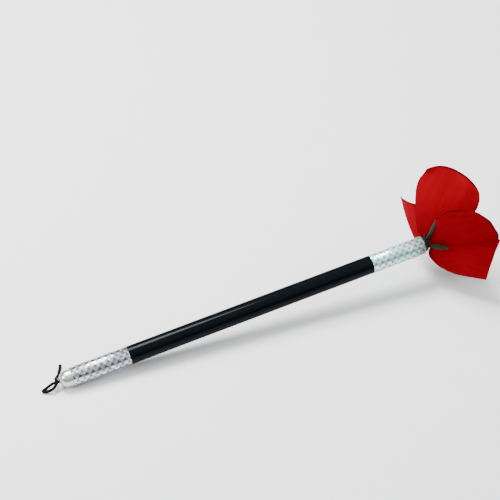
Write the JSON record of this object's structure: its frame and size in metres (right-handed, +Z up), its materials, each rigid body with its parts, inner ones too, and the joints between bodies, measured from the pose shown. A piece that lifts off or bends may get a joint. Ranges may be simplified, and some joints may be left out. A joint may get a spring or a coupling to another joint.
{
  "type": "magician's flower wand",
  "caption": "Hollow black conjuring wand with foil ends; a silk flower springs out of the front and is drawn back in by a cord loop at the rear.",
  "frame": {"origin": "middle of the wand's footprint, on the surface that it lies on, with the free cord left out", "axes": "+X from the cord end towards the flower, +Z up; the shaft rises 5 degrees towards the flower"},
  "size_m": [0.4405, 0.1271, 0.1053],
  "materials": {
    "shaft_black": "smooth gloss black tube",
    "foil_rear": "prismatic silver foil, cool grey",
    "foil_front": "prismatic silver foil, pale mint",
    "end_metal": "satin turned metal",
    "bush_plastic": "moulded natural plastic",
    "spring_steel": "drawn steel wire",
    "plunger_plastic": "moulded dark grey plastic",
    "anchor_metal": "crimped soft metal",
    "stem_wire": "green coated wire",
    "collar_plastic": "black moulded plastic",
    "calyx_green": "dark green moulded plastic",
    "bud_silk": "rolled dark red silk",
    "cord_black": "black braided cord",
    "petal_silk": "red silk with a fine weave",
    "inner_silk": "deeper red silk with a fine weave",
    "sepal_green": "thin soft dark green plastic"
  },
  "bodies": {
    "wand": {"shaft_tube": "shaft_black", "rear_foil_sleeve": "foil_rear", "front_foil_sleeve": "foil_front", "rear_end_ring": "end_metal", "rear_dome_cap": "end_metal", "guide_bush": "bush_plastic", "compression_spring": "spring_steel"},
    "flower_carrier": {"plunger": "plunger_plastic", "cord_anchor": "anchor_metal", "flower_stem": "stem_wire", "stem_collar": "collar_plastic", "calyx_cup": "calyx_green", "flower_bud": "bud_silk", "pull_cord": "cord_black", "stop_knot": "cord_black", "pull_loop": "cord_black", "cord_tail": "cord_black"},
    "outer_petal_1": {"outer_petal_1": "petal_silk"},
    "outer_petal_2": {"outer_petal_2": "petal_silk"},
    "outer_petal_3": {"outer_petal_3": "petal_silk"},
    "outer_petal_4": {"outer_petal_4": "petal_silk"},
    "outer_petal_5": {"outer_petal_5": "petal_silk"},
    "inner_petal_1": {"inner_petal_1": "inner_silk"},
    "inner_petal_2": {"inner_petal_2": "inner_silk"},
    "inner_petal_3": {"inner_petal_3": "inner_silk"},
    "inner_petal_4": {"inner_petal_4": "inner_silk"},
    "inner_petal_5": {"inner_petal_5": "inner_silk"},
    "sepal_1": {"sepal_1": "sepal_green"},
    "sepal_2": {"sepal_2": "sepal_green"},
    "sepal_3": {"sepal_3": "sepal_green"},
    "sepal_4": {"sepal_4": "sepal_green"},
    "sepal_5": {"sepal_5": "sepal_green"}
  },
  "joints": [
    {"name": "flower_slide", "type": "slide", "parent": "wand", "child": "flower_carrier", "axis": [0.9962, 0, 0.0872], "range_m": [-0.084, 0], "stiffness_N_per_m": 50, "springref_m": 0.06, "deforming": ["compression_spring", "outer_petal_1", "outer_petal_2", "outer_petal_3", "outer_petal_4", "outer_petal_5", "inner_petal_1", "inner_petal_2", "inner_petal_3", "inner_petal_4", "inner_petal_5", "sepal_1", "sepal_2", "sepal_3", "sepal_4", "sepal_5"]},
    {"name": "outer_petal_1_fold", "type": "hinge", "parent": "flower_carrier", "child": "outer_petal_1", "pos_m": [0.15042, -0.00812, 0.04212], "axis": [0.0648, -0.6691, -0.7403], "range_deg": [-53.01, 0]},
    {"name": "outer_petal_2_fold", "type": "hinge", "parent": "flower_carrier", "child": "outer_petal_2", "pos_m": [0.1503, -0.00413, 0.04341], "axis": [-0.0181, -0.9781, 0.2071], "range_deg": [-62.01, 0]},
    {"name": "outer_petal_3_fold", "type": "hinge", "parent": "flower_carrier", "child": "outer_petal_3", "pos_m": [0.1506, -0.00086, 0.04005], "axis": [-0.0858, -0.1736, 0.9811], "range_deg": [-85.01, 0]},
    {"name": "outer_petal_4_fold", "type": "hinge", "parent": "flower_carrier", "child": "outer_petal_4", "pos_m": [0.15103, -0.005, 0.03514], "axis": [0, 1, 0], "range_deg": [-40.28, 0]},
    {"name": "outer_petal_5_fold", "type": "hinge", "parent": "flower_carrier", "child": "outer_petal_5", "pos_m": [0.15071, -0.00917, 0.03881], "axis": [0.0865, 0.1219, -0.9888], "range_deg": [-60.01, 0]},
    {"name": "inner_petal_1_fold", "type": "hinge", "parent": "flower_carrier", "child": "inner_petal_1", "pos_m": [0.1534, -0.00583, 0.04245], "axis": [0.024, -0.9613, -0.2746], "range_deg": [-36.51, 0]},
    {"name": "inner_petal_2_fold", "type": "hinge", "parent": "flower_carrier", "child": "inner_petal_2", "pos_m": [0.15349, -0.00264, 0.04142], "axis": [-0.0687, -0.6157, 0.785], "range_deg": [-42.51, 0]},
    {"name": "inner_petal_3_fold", "type": "hinge", "parent": "flower_carrier", "child": "inner_petal_3", "pos_m": [0.15383, -0.00284, 0.0375], "axis": [-0.0627, 0.6947, 0.7166], "range_deg": [-36.51, 0]},
    {"name": "inner_petal_4_fold", "type": "hinge", "parent": "flower_carrier", "child": "inner_petal_4", "pos_m": [0.15386, -0.00681, 0.03719], "axis": [0.0525, 0.7986, -0.5995], "range_deg": [-24.51, 0]},
    {"name": "inner_petal_5_fold", "type": "hinge", "parent": "flower_carrier", "child": "inner_petal_5", "pos_m": [0.15359, -0.00792, 0.04025], "axis": [0.0849, -0.225, -0.9707], "range_deg": [-32.51, 0]},
    {"name": "sepal_1_fold", "type": "hinge", "parent": "flower_carrier", "child": "sepal_1", "pos_m": [0.14845, -0.00604, 0.04506], "axis": [0.0151, -0.9848, -0.173], "range_deg": [-68.01, 0]},
    {"name": "sepal_2_fold", "type": "hinge", "parent": "flower_carrier", "child": "sepal_2", "pos_m": [0.14858, -0.00098, 0.04361], "axis": [-0.0583, -0.7431, 0.6666], "range_deg": [-66.01, 0]},
    {"name": "sepal_3_fold", "type": "hinge", "parent": "flower_carrier", "child": "sepal_3", "pos_m": [0.14942, -0.00191, 0.03405], "axis": [-0.0449, 0.8572, 0.5131], "range_deg": [-76.01, 0]},
    {"name": "sepal_4_fold", "type": "hinge", "parent": "flower_carrier", "child": "sepal_4", "pos_m": [0.14936, -0.00894, 0.03466], "axis": [0.0572, 0.7547, -0.6536], "range_deg": [-54.01, 0]},
    {"name": "sepal_5_fold", "type": "hinge", "parent": "flower_carrier", "child": "sepal_5", "pos_m": [0.14876, -0.01048, 0.0416], "axis": [0.0796, -0.4067, -0.9101], "range_deg": [-60.01, 0]}
  ],
  "couplings": [
    {"joint": "outer_petal_1_fold", "follows": "flower_slide", "rad_per_m": 11.012},
    {"joint": "outer_petal_2_fold", "follows": "flower_slide", "rad_per_m": 12.882},
    {"joint": "outer_petal_3_fold", "follows": "flower_slide", "rad_per_m": 17.661},
    {"joint": "outer_petal_4_fold", "follows": "flower_slide", "rad_per_m": 8.3662},
    {"joint": "outer_petal_5_fold", "follows": "flower_slide", "rad_per_m": 12.467},
    {"joint": "inner_petal_1_fold", "follows": "flower_slide", "rad_per_m": 7.5839},
    {"joint": "inner_petal_2_fold", "follows": "flower_slide", "rad_per_m": 8.8305},
    {"joint": "inner_petal_3_fold", "follows": "flower_slide", "rad_per_m": 7.5839},
    {"joint": "inner_petal_4_fold", "follows": "flower_slide", "rad_per_m": 5.0905},
    {"joint": "inner_petal_5_fold", "follows": "flower_slide", "rad_per_m": 6.7528},
    {"joint": "sepal_1_fold", "follows": "flower_slide", "rad_per_m": 14.129},
    {"joint": "sepal_2_fold", "follows": "flower_slide", "rad_per_m": 13.713},
    {"joint": "sepal_3_fold", "follows": "flower_slide", "rad_per_m": 15.791},
    {"joint": "sepal_4_fold", "follows": "flower_slide", "rad_per_m": 11.22},
    {"joint": "sepal_5_fold", "follows": "flower_slide", "rad_per_m": 12.467}
  ]
}
